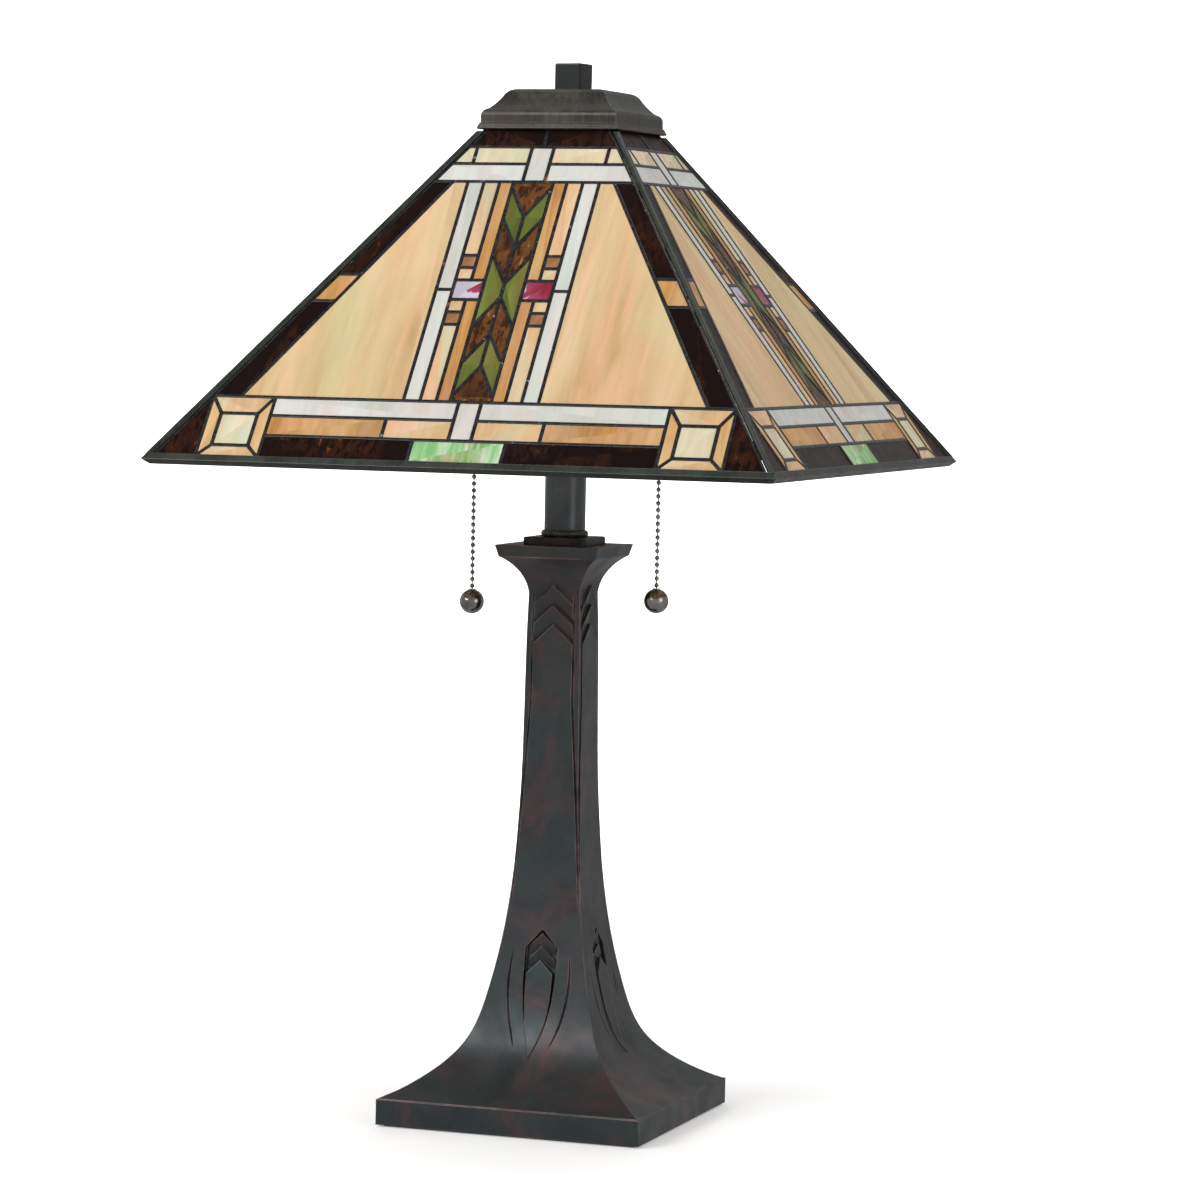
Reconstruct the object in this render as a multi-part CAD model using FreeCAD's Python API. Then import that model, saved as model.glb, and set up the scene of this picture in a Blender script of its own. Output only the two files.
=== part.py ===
"""Table lamp with a square leaded-glass shade, two pull-chain sockets and a cast column.

Millimetres, +Z up.  The origin is the middle of the rest face; the front is -Y.
"""
import FreeCAD, Part
import math
import os

Vector = FreeCAD.Vector

# ---- base and column -------------------------------------------------------
FELT_THICK = 1.2
FELT_SET = 4.0
SLAB_HALF = 88.0
SLAB_TOP_Z = 17.5
WALL = 4.0
COLUMN_WALL = 6.0
NECK_HALF = 17.3
NECK_TOP_Z = 338.0
NECK_SOLID = 20.0
FLARE_SET = 1.0
# the concave flare, as (share of the spread beyond the neck, share of the height from slab to neck)
FLARE_SHAPE = [(1.0, 0.0), (0.677, 0.042), (0.406, 0.103), (0.245, 0.2), (0.136, 0.323), (0.066, 0.463),
               (0.017, 0.785)]
CAVETTO_HIGH = 23.6
CAPITAL_HALF = 34.7
CAPITAL_THICK = 7.4
CAPITAL_TAPER = 2.0
CAVETTO_IN = 0.2
PANEL_RAISE = 0.7
PANEL_SINK = 0.3
PANEL_MARGIN = 3.9
PANEL_FOOT_Z = 116.0
PANEL_FADE = 60.0
GROOVE_WIDE = 1.1
GROOVE_DEPTH = 1.0

# ---- relief on the column --------------------------------------------------
RELIEF_ROOT = 4.0
CHEVRON_ABOVE_NECK = 5.6
CHEVRON_PITCH = 12.5
CHEVRON_DROP = 12.6
CHEVRON_RAISE = 1.5
CHEVRON_SINK = 1.0
CHEVRON_RIDGE = 0.7
ARROW_APEX_Z = 124.0
ARROW_POINT_Z = 44.0
ARROW_HALF = 11.0
ARROW_SHOULDER_DROP = 12.0
ARROW_DEPTH = 3.6
BAR_HALF = 8.8
# heads of the bar's three steps, below the recess's own point
BAR_BELOW_APEX = (2.5, 10.5, 19.2)
BAR_DROP = 8.6
BAR_STEP = 1.2
BAR_SET = 0.6
BAR_RIDGE = 1.1
BAR_RAISE = 0.8
CRESCENT_TOP_Z = 111.0
CRESCENT_FOOT_Z = 50.0
CRESCENT_BELLY = 0.55
CRESCENT_TOP_X = 18.4
CRESCENT_FOOT_X = 11.5
CRESCENT_BULGE = 21.0
CRESCENT_WIDTH = 1.7
CRESCENT_DEPTH = 1.3

# ---- inside the base -------------------------------------------------------
WEIGHT_SET = 8.0
WEIGHT_THICK = 8.0
PIPE_R = 4.85
PIPE_WALL = 1.25
PIPE_FOOT_Z = 2.6
NUT_FLATS = 14.3
NUT_THICK = 3.6
WASHER_R = 14.0
WASHER_THICK = 1.4
INLET_R = 5.0
INLET_BORE_R = 3.3
INLET_FLANGE_R = 7.0
INLET_FLANGE = 1.4
INLET_Z = 8.6

# ---- stem ------------------------------------------------------------------
PLINTH_HALF = 21.0
PLINTH_THICK = 5.0
PLINTH_ROUND = 1.2
PLINTH_CORNER = 2.4
STEM_R = 13.2
STEM_WALL = 1.4
STEM_SHOW = 45.4
RING_PROUD = 2.0
RING_THICK = 4.2
RING_ROUND = 1.5
FIT = 0.05

# ---- light cluster ---------------------------------------------------------
HUB_LIFT = 26.4
HUB_PROUD = 3.1
HUB_BELOW = 17.0
HUB_ABOVE = 19.0
HUB_WEB = 8.0
SOCKET_LIFT_DEG = 5.0
CHAIN_X = 62.8
ARM_START = 9.0
ARM_GRIP = 4.0
SOCKET_START = 38.0
SOCKET_CAP_R = 17.0
SOCKET_CAP_LONG = 13.0
SHELL_DEPTH = 15.0
SHEET = 0.8
SCREW_SHELL_R = 13.3
SWITCH_BLOCK_PAST_CHAIN = 6.2
BULB_BASE_R = 13.0
BULB_BASE_LONG = 24.0
BULB_R = 22.5
BULB_LONG = 72.0
BULB_GLASS = 0.9
BULB_GAP = 1.0
BULB_SHOULDER_DEG = 205.0

# ---- switch and pull chain -------------------------------------------------
BELL_BORE_R = 2.4
BELL_R = 3.5
BELL_MOUTH_R = 4.9
BELL_BELOW_HUB = 19.0
GUIDE_IN_SOCKET = 2.2
LINK_R = 2.0
LINK_BELOW_BELL = 2.0
LINK_LONG = 8.0
LINK_WIRE_R = 0.6
DRUM_R = 4.0
DRUM_LONG = 7.0
DRUM_AXLE_R = 1.2
DRUM_NOTCH_R = 0.9
DRUM_GAP = 0.3
BEAD_R = 1.55
BEAD_PITCH = 4.23
BEAD_WIRE_R = 0.45
CHAIN_LONG_LEFT = 99.2
CHAIN_LONG_RIGHT = 94.0
BALL_R = 7.9
COLLAR_R = 2.6
COLLAR_HIGH = 1.7

# ---- shade -----------------------------------------------------------------
RIM_HALF = 202.0
SHADE_RISE = 208.4
SHADE_TOP_HALF = 44.6
PANEL_TUCK = 3.84
LEAD_THICK = 3.4
GLASS_THICK = 2.6
LEAD_WIDTH = 2.3
GLASS_FIT = 0.05
EDGE_LEAD = 1.6
HIP_BACK = 2.9
HIP_CAME_R = 2.2
HIP_CAME_IN = 0.9
HIP_BELOW_TOP = 1.6
CAME_SHEET = 0.9
CAME_LOW = 1.6
CAME_HIGH = 3.0

# ---- vase cap and finial ---------------------------------------------------
CAP_SHEET = 1.3
CAP_OVERHANG = 2.9
CAP_FLANGE_SLOPE = 2.1
CAP_FLANGE_HIGH = 4.4
CAP_BAND_HIGH = 9.0
CAP_BAND_STRAIGHT = 0.5
CAP_BAND_ROUND = 4.0
CAP_OGEE_IN = 11.2
CAP_OGEE_HIGH = 8.6
CAP_TOP_IN = 6.4
CAP_TOP_HIGH = 4.2
ROD_R = 3.15
ROD_CLEAR = 0.45
FINIAL_HALF = 9.1
FINIAL_HIGH = 17.4
FINIAL_EDGE = 0.9
FINIAL_TURN_DEG = -6.0
INSERT_R = 5.6
INSERT_LONG = 12.0
INSERT_LIP = 1.0
INSERT_LIP_PROUD = 1.2
SEAT_R = 20.0
SEAT_THICK = 3.0
FRICTION_R = 15.0
FRICTION_THICK = 2.0
SEAT_NUT_FLATS = 11.0
SEAT_NUT_THICK = 4.0
ROD_IN_FINIAL = 9.7

# ---- places that follow from the sizes above -------------------------------
CAPITAL_Z = NECK_TOP_Z + CAVETTO_HIGH
PLINTH_Z = CAPITAL_Z + CAPITAL_THICK
RING_Z = PLINTH_Z + PLINTH_THICK
STEM_Z = RING_Z + RING_THICK
RIM_Z = STEM_Z + STEM_SHOW
HUB_Z = RIM_Z + HUB_LIFT
HUB_FOOT_Z = HUB_Z - HUB_BELOW
HUB_TOP_Z = HUB_Z + HUB_ABOVE
PIPE_TOP_Z = HUB_Z - HUB_WEB
ROD_FOOT_Z = HUB_Z + HUB_WEB
BELL_FOOT_Z = HUB_Z - BELL_BELOW_HUB
LINK_TOP_Z = BELL_FOOT_Z - LINK_BELOW_BELL
BALL_Z = {-1: LINK_TOP_Z - CHAIN_LONG_LEFT, 1: LINK_TOP_Z - CHAIN_LONG_RIGHT}
SWITCH_BLOCK_END = CHAIN_X + SWITCH_BLOCK_PAST_CHAIN
SOCKET_END = SWITCH_BLOCK_END + SHELL_DEPTH
SHADE_TOP_Z = RIM_Z + SHADE_RISE
HIP_END_Z = SHADE_TOP_Z - HIP_BELOW_TOP
WEIGHT_HALF = SLAB_HALF - WALL - WEIGHT_SET
RING_R = STEM_R + RING_PROUD
HUB_R = STEM_R + HUB_PROUD
PIPE_BORE_R = PIPE_R - PIPE_WALL
PIPE_HOLE_R = PIPE_R + FIT
ROD_HOLE_R = ROD_R + FIT
CHEVRON_APEX_Z = [NECK_TOP_Z + CHEVRON_ABOVE_NECK - CHEVRON_PITCH * i for i in range(3)]
BAR_APEX_Z = [ARROW_APEX_Z - below for below in BAR_BELOW_APEX]
# how far a cutting shape runs past what it cuts
PAST = 1.0


# ---- general shapes --------------------------------------------------------
def save(name, shape):
    shape.exportStep("parts/" + name + ".step")


def box(x0, x1, y0, y1, z0, z1):
    return Part.makeBox(x1 - x0, y1 - y0, z1 - z0, Vector(x0, y0, z0))


def square(half, z0, z1):
    return box(-half, half, -half, half, z0, z1)


def cylinder(radius, z0, z1, x=0.0, y=0.0):
    return Part.makeCylinder(radius, z1 - z0, Vector(x, y, z0))


def tube(outer, inner, z0, z1):
    return cylinder(outer, z0, z1).cut(cylinder(inner, z0 - PAST, z1 + PAST))


def hexagon(flats, z0, z1):
    corner = flats / math.sqrt(3)
    points = [Vector(corner * math.cos(math.radians(60 * i)), corner * math.sin(math.radians(60 * i)), z0)
              for i in range(7)]
    return Part.Face(Part.makePolygon(points)).extrude(Vector(0, 0, z1 - z0))


def turned(profile):
    """A solid of revolution about Z from (radius, height) points."""
    points = [Vector(r, 0, z) for r, z in profile]
    face = Part.Face(Part.makePolygon(points + points[:1]))
    return face.revolve(Vector(0, 0, 0), Vector(0, 0, 1), 360)


def polyhedron(near, far):
    """A solid between two matching outlines."""
    count = len(near)
    faces = [Part.Face(Part.makePolygon(near + near[:1])), Part.Face(Part.makePolygon(far + far[:1]))]
    for i in range(count):
        j = (i + 1) % count
        faces.append(Part.Face(Part.makePolygon([near[i], near[j], far[j], far[i], near[i]])))
    solid = Part.Solid(Part.Shell(faces))
    if solid.Volume < 0:
        solid.reverse()
    return solid


def turn(shape, degrees):
    copy = shape.copy()
    copy.rotate(Vector(0, 0, 0), Vector(0, 0, 1), degrees)
    return copy


def four_ways(shape):
    return [turn(shape, 90 * side) for side in range(4)]


def mitred(edges):
    """A square solid whose four sides all follow one profile; edges close it on the +X side."""
    low = edges[0].Vertexes[0].Point
    high = edges[-1].Vertexes[-1].Point
    mirror = [edge.mirror(Vector(0, 0, 0), Vector(1, 0, 0)) for edge in edges]
    bottom = Part.makeLine(Vector(-low.x, 0, low.z), low)
    top = Part.makeLine(Vector(-high.x, 0, high.z), high)
    wire = Part.Wire(Part.__sortEdges__(edges + mirror + [bottom, top]))
    reach = 2 * max(vertex.X for edge in edges for vertex in edge.Vertexes)
    slab = Part.Face(wire).extrude(Vector(0, 2 * reach, 0))
    slab.translate(Vector(0, -reach, 0))
    return slab.common(turn(slab, 90))


def lines(points):
    return [Part.makeLine(a, b) for a, b in zip(points, points[1:])]


# ---- column ----------------------------------------------------------------
def flare_points():
    """(half width, height) down the concave flare, from the slab's top to the neck."""
    spread = SLAB_HALF - FLARE_SET - NECK_HALF
    rise = NECK_TOP_Z - SLAB_TOP_Z
    return [(NECK_HALF + wide * spread, SLAB_TOP_Z + high * rise) for wide, high in FLARE_SHAPE]


def half_at(z):
    """Half width of the column at a height, straight between the flare's points."""
    points = flare_points() + [(NECK_HALF, NECK_TOP_Z)]
    for (half_0, z_0), (half_1, z_1) in zip(points, points[1:]):
        if z <= z_1:
            return half_0 + (half_1 - half_0) * (z - z_0) / (z_1 - z_0)
    return NECK_HALF


def column_body(grow, foot_grow=None):
    """Flare and neck; grow moves every side out, fading to foot_grow at the panel's foot."""
    if foot_grow is None:
        foot_grow = grow
    points = []
    for half, z in flare_points():
        share = min(max((z - PANEL_FOOT_Z) / PANEL_FADE, 0.0), 1.0)
        points.append(Vector(half + foot_grow + share * (grow - foot_grow), 0, z))
    neck = Vector(NECK_HALF + grow, 0, NECK_TOP_Z)
    curve = Part.BSplineCurve()
    curve.interpolate(points + [neck])
    return mitred([curve.toShape()])


def cavetto():
    """Hollow moulding that opens from the neck to the capital plate."""
    wide = CAPITAL_HALF - CAPITAL_TAPER - NECK_HALF
    neck = Vector(NECK_HALF, 0, NECK_TOP_Z)
    lip = Vector(CAPITAL_HALF - CAPITAL_TAPER, 0, CAPITAL_Z)
    middle = Vector(NECK_HALF + CAVETTO_IN * wide, 0, NECK_TOP_Z + 0.45 * CAVETTO_HIGH)
    return mitred([Part.Arc(neck, middle, lip).toShape()])


def capital_plate():
    """Square plate on the cavetto, a little wider at its top."""
    foot = Vector(CAPITAL_HALF - CAPITAL_TAPER, 0, CAPITAL_Z)
    top = Vector(CAPITAL_HALF, 0, PLINTH_Z)
    return mitred([Part.makeLine(foot, top)]).cut(cylinder(PIPE_HOLE_R, CAPITAL_Z - PAST, PLINTH_Z + PAST))


def outline_prism(points):
    """An outline of (across, height) points on the front face, run deep into the column."""
    front = [Vector(x, -SLAB_HALF, z) for x, z in points]
    return Part.Face(Part.makePolygon(front + front[:1])).extrude(Vector(0, SLAB_HALF, 0))


def shingle(apex_z, low_z, half, drop, inner, low_out, high_out, ridge):
    """A pair of chevron scales: low_out at the foot, high_out at the top, ridge more in the middle."""
    scales = []
    for side in (-1, 1):
        outline = [(0, low_z, low_out + ridge), (side * half, low_z - drop, low_out),
                   (side * half, apex_z - drop, high_out), (0, apex_z, high_out + ridge)]
        near = [Vector(x, -inner, z) for x, z, out in outline]
        far = [Vector(x, -out, z) for x, z, out in outline]
        scales.append(polyhedron(near, far))
    return scales


def chevron_field(depth):
    """The pocket that the neck's chevrons stand in, down to the panel's own pointed head."""
    half = NECK_HALF - PANEL_MARGIN
    top, foot = CHEVRON_APEX_Z[0], CHEVRON_APEX_Z[-1]
    outline = [(0, top), (half, top - CHEVRON_DROP), (half, foot - CHEVRON_DROP), (0, foot),
               (-half, foot - CHEVRON_DROP), (-half, top - CHEVRON_DROP)]
    return outline_prism(outline).cut(square(NECK_HALF - depth, foot - 2 * CHEVRON_DROP, top + PAST))


def neck_chevrons():
    """Two pairs of scales above the panel, and a third that the panel itself runs up into."""
    half = NECK_HALF - PANEL_MARGIN
    root = NECK_HALF - RELIEF_ROOT
    high_out = NECK_HALF + CHEVRON_RAISE
    pieces = []
    for apex, low in zip(CHEVRON_APEX_Z, CHEVRON_APEX_Z[1:]):
        low_out = NECK_HALF - CHEVRON_SINK
        pieces += shingle(apex, low, half, CHEVRON_DROP, root, low_out, high_out, CHEVRON_RIDGE)
    apex = CHEVRON_APEX_Z[-1]
    panel_out = NECK_HALF + PANEL_RAISE
    return pieces + shingle(apex, apex - CHEVRON_DROP, half, CHEVRON_DROP, root, panel_out, high_out, 0.0)


def panel_grooves():
    """A narrow channel on each side of the raised panel and the chevrons, fading into the flare."""
    half_top = NECK_HALF - PANEL_MARGIN
    half_foot = half_at(PANEL_FOOT_Z) - PANEL_MARGIN
    bend_z = flare_points()[-1][1]
    cuts = []
    for side in (-1, 1):
        inner = [(side * half_foot, PANEL_FOOT_Z), (side * half_top, bend_z), (side * half_top, NECK_TOP_Z)]
        outer = [(x + side * GROOVE_WIDE, z) for x, z in reversed(inner)]
        cuts.append(outline_prism(inner + outer).cut(column_body(-GROOVE_DEPTH, PANEL_SINK)))
    return cuts


def raised_panel():
    """The long flat panel between the corner strips of one face."""
    top = CHEVRON_APEX_Z[-1]
    half_top = NECK_HALF - PANEL_MARGIN
    half_foot = half_at(PANEL_FOOT_Z) - PANEL_MARGIN
    bend_z = flare_points()[-1][1]
    outline = [(-half_foot, PANEL_FOOT_Z), (half_foot, PANEL_FOOT_Z), (half_top, bend_z),
               (half_top, top - CHEVRON_DROP), (0, top), (-half_top, top - CHEVRON_DROP),
               (-half_top, bend_z)]
    return outline_prism(outline).common(column_body(PANEL_RAISE, -PANEL_SINK))


def arrow_outline(half, apex, drop, point_z, steps=8):
    """A blade outline: pointed head, then sides that curve in to a point at the foot."""
    right = []
    for i in range(steps + 1):
        t = i / steps
        z = apex - drop + (point_z - apex + drop) * t
        right.append((half * math.cos(math.pi / 2 * t ** 1.6), z))
    left = [(-x, z) for x, z in reversed(right[:-1])]
    return [(0, apex)] + right + left


def foot_arrow_cut():
    outline = arrow_outline(ARROW_HALF, ARROW_APEX_Z, ARROW_SHOULDER_DROP, ARROW_POINT_Z)
    return outline_prism(outline).cut(column_body(-ARROW_DEPTH))


def foot_arrow_bar():
    """The blade that stands in the recess, with two stepped chevrons at its head."""
    outline = arrow_outline(BAR_HALF, BAR_APEX_Z[-1], BAR_DROP, ARROW_POINT_Z + PAST)
    pieces = [outline_prism(outline).common(column_body(BAR_RAISE))]
    for apex, low in zip(BAR_APEX_Z, BAR_APEX_Z[1:]):
        step = half_at(apex) - BAR_SET
        root = step - 2 * RELIEF_ROOT
        pieces += shingle(apex, low, BAR_HALF, BAR_DROP, root, step - BAR_STEP, step, BAR_RIDGE)
    return pieces


def crescent_cut():
    """A thin curved groove on each side of the blade."""
    cuts = []
    middle_z = CRESCENT_FOOT_Z + CRESCENT_BELLY * (CRESCENT_TOP_Z - CRESCENT_FOOT_Z)
    for side in (-1, 1):
        top = Vector(side * CRESCENT_TOP_X, -SLAB_HALF, CRESCENT_TOP_Z)
        foot = Vector(side * CRESCENT_FOOT_X, -SLAB_HALF, CRESCENT_FOOT_Z)
        outer = Part.Arc(top, Vector(side * CRESCENT_BULGE, -SLAB_HALF, middle_z), foot).toShape()
        inner_middle = Vector(side * (CRESCENT_BULGE - CRESCENT_WIDTH), -SLAB_HALF, middle_z)
        inner = Part.Arc(foot, inner_middle, top).toShape()
        blade = Part.Face(Part.Wire([outer, inner])).extrude(Vector(0, SLAB_HALF, 0))
        cuts.append(blade.cut(column_body(-CRESCENT_DEPTH)))
    return cuts


def column_casting():
    """Flare, neck and cavetto in one hollow casting, with its relief on all four faces."""
    casting = column_body(0.0).fuse(cavetto()).cut(four_ways(chevron_field(CHEVRON_SINK + PAST)))
    added = []
    for piece in [raised_panel()] + neck_chevrons():
        added += four_ways(piece)
    casting = casting.fuse(added)
    for piece in [foot_arrow_cut()] + crescent_cut() + panel_grooves():
        casting = casting.cut(four_ways(piece))
    bars = []
    for piece in foot_arrow_bar():
        bars += four_ways(piece)
    casting = casting.fuse(bars)
    inside = column_body(-COLUMN_WALL).common(square(SLAB_HALF, SLAB_TOP_Z - PAST, NECK_TOP_Z - NECK_SOLID))
    return casting.cut([inside, cylinder(PIPE_HOLE_R, 0, CAPITAL_Z + PAST)]).removeSplitter()


def foot_slab():
    """Square foot, hollow underneath, bored for the pipe and for the cord."""
    slab = square(SLAB_HALF, FELT_THICK, SLAB_TOP_Z)
    hollow = square(SLAB_HALF - WALL, 0, SLAB_TOP_Z - WALL)
    start = Vector(0, SLAB_HALF - 2 * WALL, INLET_Z)
    inlet = Part.makeCylinder(INLET_R + FIT, 2 * WALL + PAST, start, Vector(0, 1, 0))
    return slab.cut([hollow, cylinder(PIPE_HOLE_R, 0, SLAB_TOP_Z + PAST), inlet])


def inside_base():
    """Weight, felt and the fasteners that draw the pipe down."""
    ceiling = SLAB_TOP_Z - WALL
    weight_low = ceiling - WEIGHT_THICK
    washer_low = weight_low + NUT_THICK
    weight = square(WEIGHT_HALF, weight_low, ceiling)
    counterbore = cylinder(WASHER_R + PAST, weight_low - PAST, washer_low + WASHER_THICK)
    cord_channel = box(-INLET_R, INLET_R, WASHER_R, WEIGHT_HALF + PAST, weight_low - PAST, ceiling + PAST)
    weight = weight.cut([counterbore, cord_channel, cylinder(PIPE_HOLE_R, 0, ceiling + PAST)])
    save("base_weight", weight)
    save("felt_pad", square(SLAB_HALF - FELT_SET, 0, FELT_THICK))
    save("base_washer", tube(WASHER_R, PIPE_HOLE_R, washer_low, washer_low + WASHER_THICK))
    nut = hexagon(NUT_FLATS, washer_low - NUT_THICK, washer_low)
    save("base_nut", nut.cut(cylinder(PIPE_HOLE_R, 0, ceiling)))


def cord_inlet():
    """Flanged bushing in the back wall of the slab."""
    bush = turned([(INLET_BORE_R, -WALL - 1), (INLET_R, -WALL - 1), (INLET_R, 0), (INLET_FLANGE_R, 0),
                   (INLET_FLANGE_R - 0.5, INLET_FLANGE), (INLET_BORE_R, INLET_FLANGE)])
    bush.rotate(Vector(0, 0, 0), Vector(1, 0, 0), -90)
    bush.translate(Vector(0, SLAB_HALF, INLET_Z))
    save("cord_bushing", bush)


def stem():
    """Plinth block, turned ring, stem tube and the threaded pipe that runs up through them."""
    plinth = square(PLINTH_HALF, PLINTH_Z, RING_Z)
    corners = [e for e in plinth.Edges if e.BoundBox.ZLength > PLINTH_THICK - FIT]
    plinth = plinth.makeFillet(PLINTH_CORNER, corners)
    plinth = plinth.makeFillet(PLINTH_ROUND, [e for e in plinth.Edges if e.BoundBox.ZMin > RING_Z - FIT])
    save("plinth_block", plinth.cut(cylinder(PIPE_HOLE_R, 0, STEM_Z)))
    waist = RING_R - RING_ROUND
    middle = Vector(RING_R, 0, (RING_Z + STEM_Z) / 2)
    bead = Part.Arc(Vector(waist, 0, RING_Z), middle, Vector(waist, 0, STEM_Z))
    inside = lines([Vector(waist, 0, STEM_Z), Vector(PIPE_HOLE_R, 0, STEM_Z), Vector(PIPE_HOLE_R, 0, RING_Z),
                    Vector(waist, 0, RING_Z)])
    face = Part.Face(Part.Wire([bead.toShape()] + inside))
    save("stem_ring", face.revolve(Vector(0, 0, 0), Vector(0, 0, 1), 360))
    save("stem_tube", tube(STEM_R, STEM_R - STEM_WALL, STEM_Z, HUB_FOOT_Z))
    save("centre_pipe", tube(PIPE_R, PIPE_BORE_R, PIPE_FOOT_Z, PIPE_TOP_Z))


# ---- light cluster ---------------------------------------------------------
def on_socket(shape, side):
    """Place a shape drawn along +Z from the hub's axis onto the left (-1) or right (+1) socket."""
    copy = shape.copy()
    copy.rotate(Vector(0, 0, 0), Vector(0, 1, 0), side * (90 - SOCKET_LIFT_DEG))
    copy.translate(Vector(0, 0, HUB_Z))
    return copy


def cluster():
    """Hub on top of the pipe and its two socket arms."""
    top, foot = HUB_TOP_Z, HUB_FOOT_Z
    hub = turned([(0, foot), (HUB_R - 1.6, foot), (HUB_R, foot + 4), (HUB_R, top - 5), (HUB_R - 4, top),
                  (0, top)])
    pipe_hole = cylinder(PIPE_HOLE_R, foot - PAST, PIPE_TOP_Z)
    hub = hub.cut([pipe_hole, cylinder(ROD_HOLE_R, ROD_FOOT_Z, top + PAST)])
    bore = cylinder(PIPE_HOLE_R, ARM_START, 2 * HUB_R)
    save("cluster_hub", hub.cut([on_socket(bore, side) for side in (-1, 1)]))
    arm = tube(PIPE_R, PIPE_BORE_R, ARM_START, SOCKET_START + ARM_GRIP)
    save("socket_arms", Part.makeCompound([on_socket(arm, side) for side in (-1, 1)]))


def socket_cap():
    """Dished cap with a short neck that screws onto the arm."""
    inner = SOCKET_CAP_R - SHEET
    neck = PIPE_R + 3
    end = SOCKET_START + SOCKET_CAP_LONG
    return turned([(PIPE_HOLE_R, SOCKET_START - 5), (neck, SOCKET_START - 5), (neck, SOCKET_START),
                   (SOCKET_CAP_R - 3, SOCKET_START), (SOCKET_CAP_R, SOCKET_START + 4), (SOCKET_CAP_R, end),
                   (inner, end), (inner, SOCKET_START + 4.4), (SOCKET_CAP_R - 3.4, SOCKET_START + SHEET),
                   (PIPE_HOLE_R, SOCKET_START + SHEET)])


def socket_shell():
    """Thin sleeve with a rolled bead at its mouth."""
    outer = SOCKET_CAP_R - SHEET - FIT
    start = SOCKET_START + 6
    lip = outer + 0.9
    return turned([(outer - SHEET, start), (outer, start), (outer, SOCKET_END - 2.2), (lip, SOCKET_END - 1.4),
                   (lip, SOCKET_END - 0.4), (outer, SOCKET_END), (outer - SHEET, SOCKET_END)])


def screw_shell():
    """Cup that the lamp cap screws into."""
    outer = SCREW_SHELL_R + 0.5
    floor = SWITCH_BLOCK_END
    return turned([(3.0, floor), (outer, floor), (outer, SOCKET_END - 1), (SCREW_SHELL_R, SOCKET_END - 1),
                   (SCREW_SHELL_R, floor + 0.6), (3.0, floor + 0.6)])


def drum_axis(side):
    """Centre of the switch drum: the pull wire runs down its outer side."""
    x = CHAIN_X - LINK_WIRE_R - DRUM_GAP - DRUM_R
    return Vector(side * x, 0, HUB_Z + x * math.tan(math.radians(SOCKET_LIFT_DEG)))


def guide_top():
    """Height where the chain guide ends, just inside the socket's wall."""
    return HUB_Z + CHAIN_X * math.tan(math.radians(SOCKET_LIFT_DEG)) - SOCKET_CAP_R + GUIDE_IN_SOCKET


def switch_block(side):
    """Moulded block with room for the drum, its axle, the pull wire and the chain guide."""
    radius = SOCKET_CAP_R - 2 * SHEET - 2 * FIT - 0.3
    block = on_socket(cylinder(radius, SOCKET_START + 7, SWITCH_BLOCK_END), side)
    centre = drum_axis(side)
    room = DRUM_R + 0.6
    reach = DRUM_LONG / 2 + 0.5
    pocket = box(-room, room, -reach, reach, centre.z - room, centre.z + room)
    pocket.translate(Vector(centre.x, 0, 0))
    wire_way = cylinder(LINK_WIRE_R + 0.9, BELL_FOOT_Z, centre.z, side * CHAIN_X)
    axle_start = centre - Vector(0, DRUM_LONG, 0)
    axle_way = Part.makeCylinder(DRUM_AXLE_R + FIT, 2 * DRUM_LONG, axle_start, Vector(0, 1, 0))
    guide_way = cylinder(BELL_R + FIT, BELL_FOOT_Z, guide_top() + FIT, side * CHAIN_X)
    return block.cut([pocket, wire_way, axle_way, guide_way])


def switch_drum(side):
    """Ratchet drum on its axle, with four notches."""
    centre = drum_axis(side)
    along = Vector(0, 1, 0)
    drum = Part.makeCylinder(DRUM_R, DRUM_LONG, centre - along * (DRUM_LONG / 2), along)
    axle = Part.makeCylinder(DRUM_AXLE_R, 2 * DRUM_LONG - 1, centre - along * (DRUM_LONG - 0.5), along)
    notches = []
    for i in range(4):
        angle = math.radians(45 + 90 * i)
        spot = centre + Vector(DRUM_R * math.cos(angle), -DRUM_LONG, DRUM_R * math.sin(angle))
        notches.append(Part.makeCylinder(DRUM_NOTCH_R, DRUM_LONG, spot, along))
    return drum.cut(notches).fuse(axle)


def bell_mouth(side):
    """Flared guide that the chain leaves through."""
    top = guide_top()
    foot = BELL_FOOT_Z
    bell = turned([(BELL_BORE_R, foot + 3), (BELL_BORE_R, top), (BELL_R, top), (BELL_R, foot + 4),
                   (BELL_MOUTH_R, foot + 1), (BELL_MOUTH_R, foot), (BELL_MOUTH_R - 0.9, foot)])
    bell.translate(Vector(side * CHAIN_X, 0, 0))
    return bell


def bulb_base():
    """Lamp cap with a ringed thread, drawn along the socket's axis."""
    start = SWITCH_BLOCK_END + BULB_GAP
    end = start + BULB_BASE_LONG
    profile = [(0, start), (4.5, start), (5.5, start + 1.5), (BULB_BASE_R, start + 4)]
    for i in range(5):
        z = start + 5 + 3.2 * i
        profile += [(BULB_BASE_R, z), (BULB_BASE_R - 0.8, z + 1.6)]
    return turned(profile + [(BULB_BASE_R, end - 3), (BULB_BASE_R, end), (0, end)])


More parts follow.
